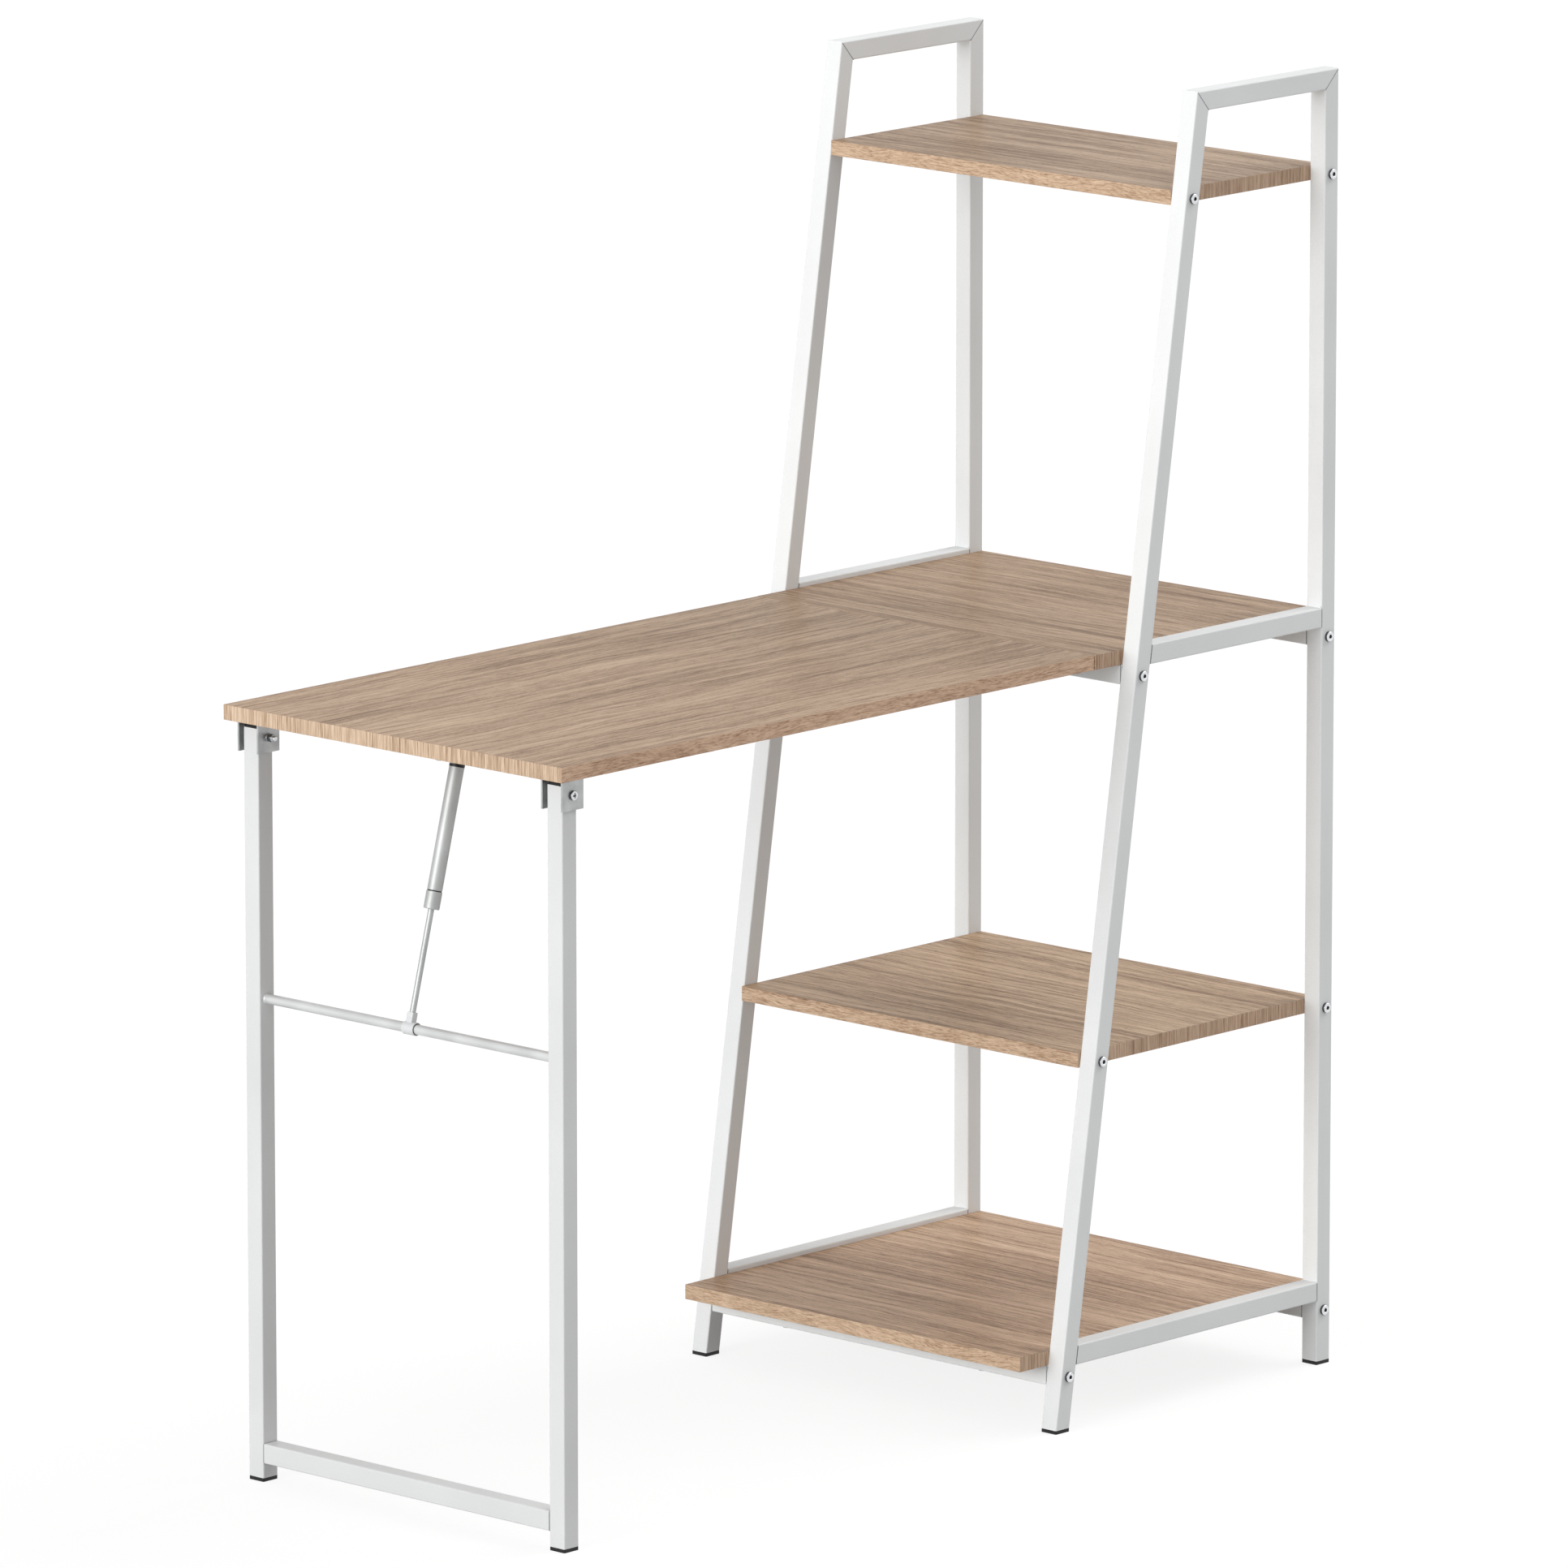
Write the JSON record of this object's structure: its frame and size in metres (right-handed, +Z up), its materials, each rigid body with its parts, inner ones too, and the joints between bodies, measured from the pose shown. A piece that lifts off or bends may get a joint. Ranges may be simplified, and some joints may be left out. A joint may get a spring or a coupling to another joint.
{
  "type": "computer desk",
  "caption": "Computer desk with a folding wood-grain leaf on a tubular leg frame, held open by a gas strut, beside an open shelf unit with leaning front posts.",
  "frame": {"origin": "on the floor under the middle of the whole desk, halfway between the end of the leaf and the back of the shelf unit", "axes": "+Z up; +X from the end of the leaf towards the back of the shelf unit; +Y across the desk from the right side frame to the left one, seen from the end of the leaf"},
  "size_m": [1.097, 0.5026, 1.323],
  "materials": {
    "frame_paint": "satin powder coat",
    "board_face": "matt wood-grain foil on board",
    "board_edge": "matt wood-grain edge strip",
    "bolt_zinc": "zinc plated",
    "bracket_zinc": "zinc plated sheet",
    "hardware_zinc": "zinc plated",
    "black_plastic": "semi-gloss",
    "white_plastic": "satin",
    "inner_plastic": "matt",
    "strut_silver": "satin",
    "rod_chrome": "polished"
  },
  "bodies": {
    "shelf_unit": {"right_rear_post": "frame_paint", "right_front_post": "frame_paint", "right_top_rail": "frame_paint", "right_desk_rail": "frame_paint", "right_base_rail": "frame_paint", "left_rear_post": "frame_paint", "left_front_post": "frame_paint", "left_top_rail": "frame_paint", "left_desk_rail": "frame_paint", "left_base_rail": "frame_paint", "desk_front_cross_rail": "frame_paint", "desk_rear_cross_rail": "frame_paint", "base_front_cross_rail": "frame_paint", "base_rear_cross_rail": "frame_paint", "top_shelf": "board_face", "desk_shelf": "board_face", "middle_shelf": "board_face", "bottom_shelf": "board_face", "top_shelf_edge_band": "board_edge", "desk_shelf_edge_band": "board_edge", "middle_shelf_edge_band": "board_edge", "bottom_shelf_edge_band": "board_edge", "right_frame_bolts": "bolt_zinc", "left_frame_bolts": "bolt_zinc", "shelf_inserts": "hardware_zinc", "rail_end_plugs": "inner_plastic", "shelf_screws": "hardware_zinc", "shelf_unit_feet": "black_plastic", "hinge_fixed_flaps": "bracket_zinc", "hinge_pins": "hardware_zinc", "hinge_fixed_screws": "hardware_zinc"},
    "leaf": {"leaf_board": "board_face", "leaf_edge_band": "board_edge", "hinge_moving_flaps": "bracket_zinc", "hinge_moving_screws": "hardware_zinc", "right_leg_bracket": "bracket_zinc", "left_leg_bracket": "bracket_zinc", "bracket_screws": "hardware_zinc", "pivot_bolts": "bolt_zinc", "pivot_nuts": "bolt_zinc", "pivot_spacers": "hardware_zinc", "strut_angles": "bracket_zinc", "strut_angle_screws": "hardware_zinc"},
    "leg_frame": {"right_leg_post": "frame_paint", "left_leg_post": "frame_paint", "leg_bottom_rail": "frame_paint", "leg_round_bar": "frame_paint", "leg_post_caps": "black_plastic", "leg_feet": "black_plastic", "pivot_bushes": "inner_plastic"},
    "strut_lower": {"strut_bar_clip": "white_plastic", "piston_rod": "rod_chrome", "piston": "inner_plastic"},
    "strut_upper": {"cylinder_tube": "strut_silver", "strut_collar": "strut_silver", "strut_rod_guide": "inner_plastic", "strut_end_fitting": "black_plastic", "strut_pin": "hardware_zinc"}
  },
  "joints": [
    {"name": "leaf_fold", "type": "hinge", "parent": "shelf_unit", "child": "leaf", "pos_m": [0.21078, 0, 0.747], "axis": [0, -1, 0], "range_deg": [0, 70]},
    {"name": "leg_fold", "type": "hinge", "parent": "leaf", "child": "leg_frame", "pos_m": [-0.5215, 0, 0.742], "axis": [0, -1, 0], "range_deg": [0, 90]},
    {"name": "strut_turn", "type": "hinge", "parent": "leg_frame", "child": "strut_lower", "pos_m": [-0.524, 0, 0.483], "axis": [0, -1, 0], "range_deg": [0, 12.6]},
    {"name": "strut_stroke", "type": "slide", "parent": "strut_lower", "child": "strut_upper", "axis": [-0.2601, 0, -0.9656], "range_m": [0, 0.0845]}
  ],
  "couplings": [
    {"joint": "strut_turn", "follows": "leg_fold", "ratio": 0.13908},
    {"joint": "strut_stroke", "follows": "leg_fold", "m_per_rad": 0.053571}
  ]
}
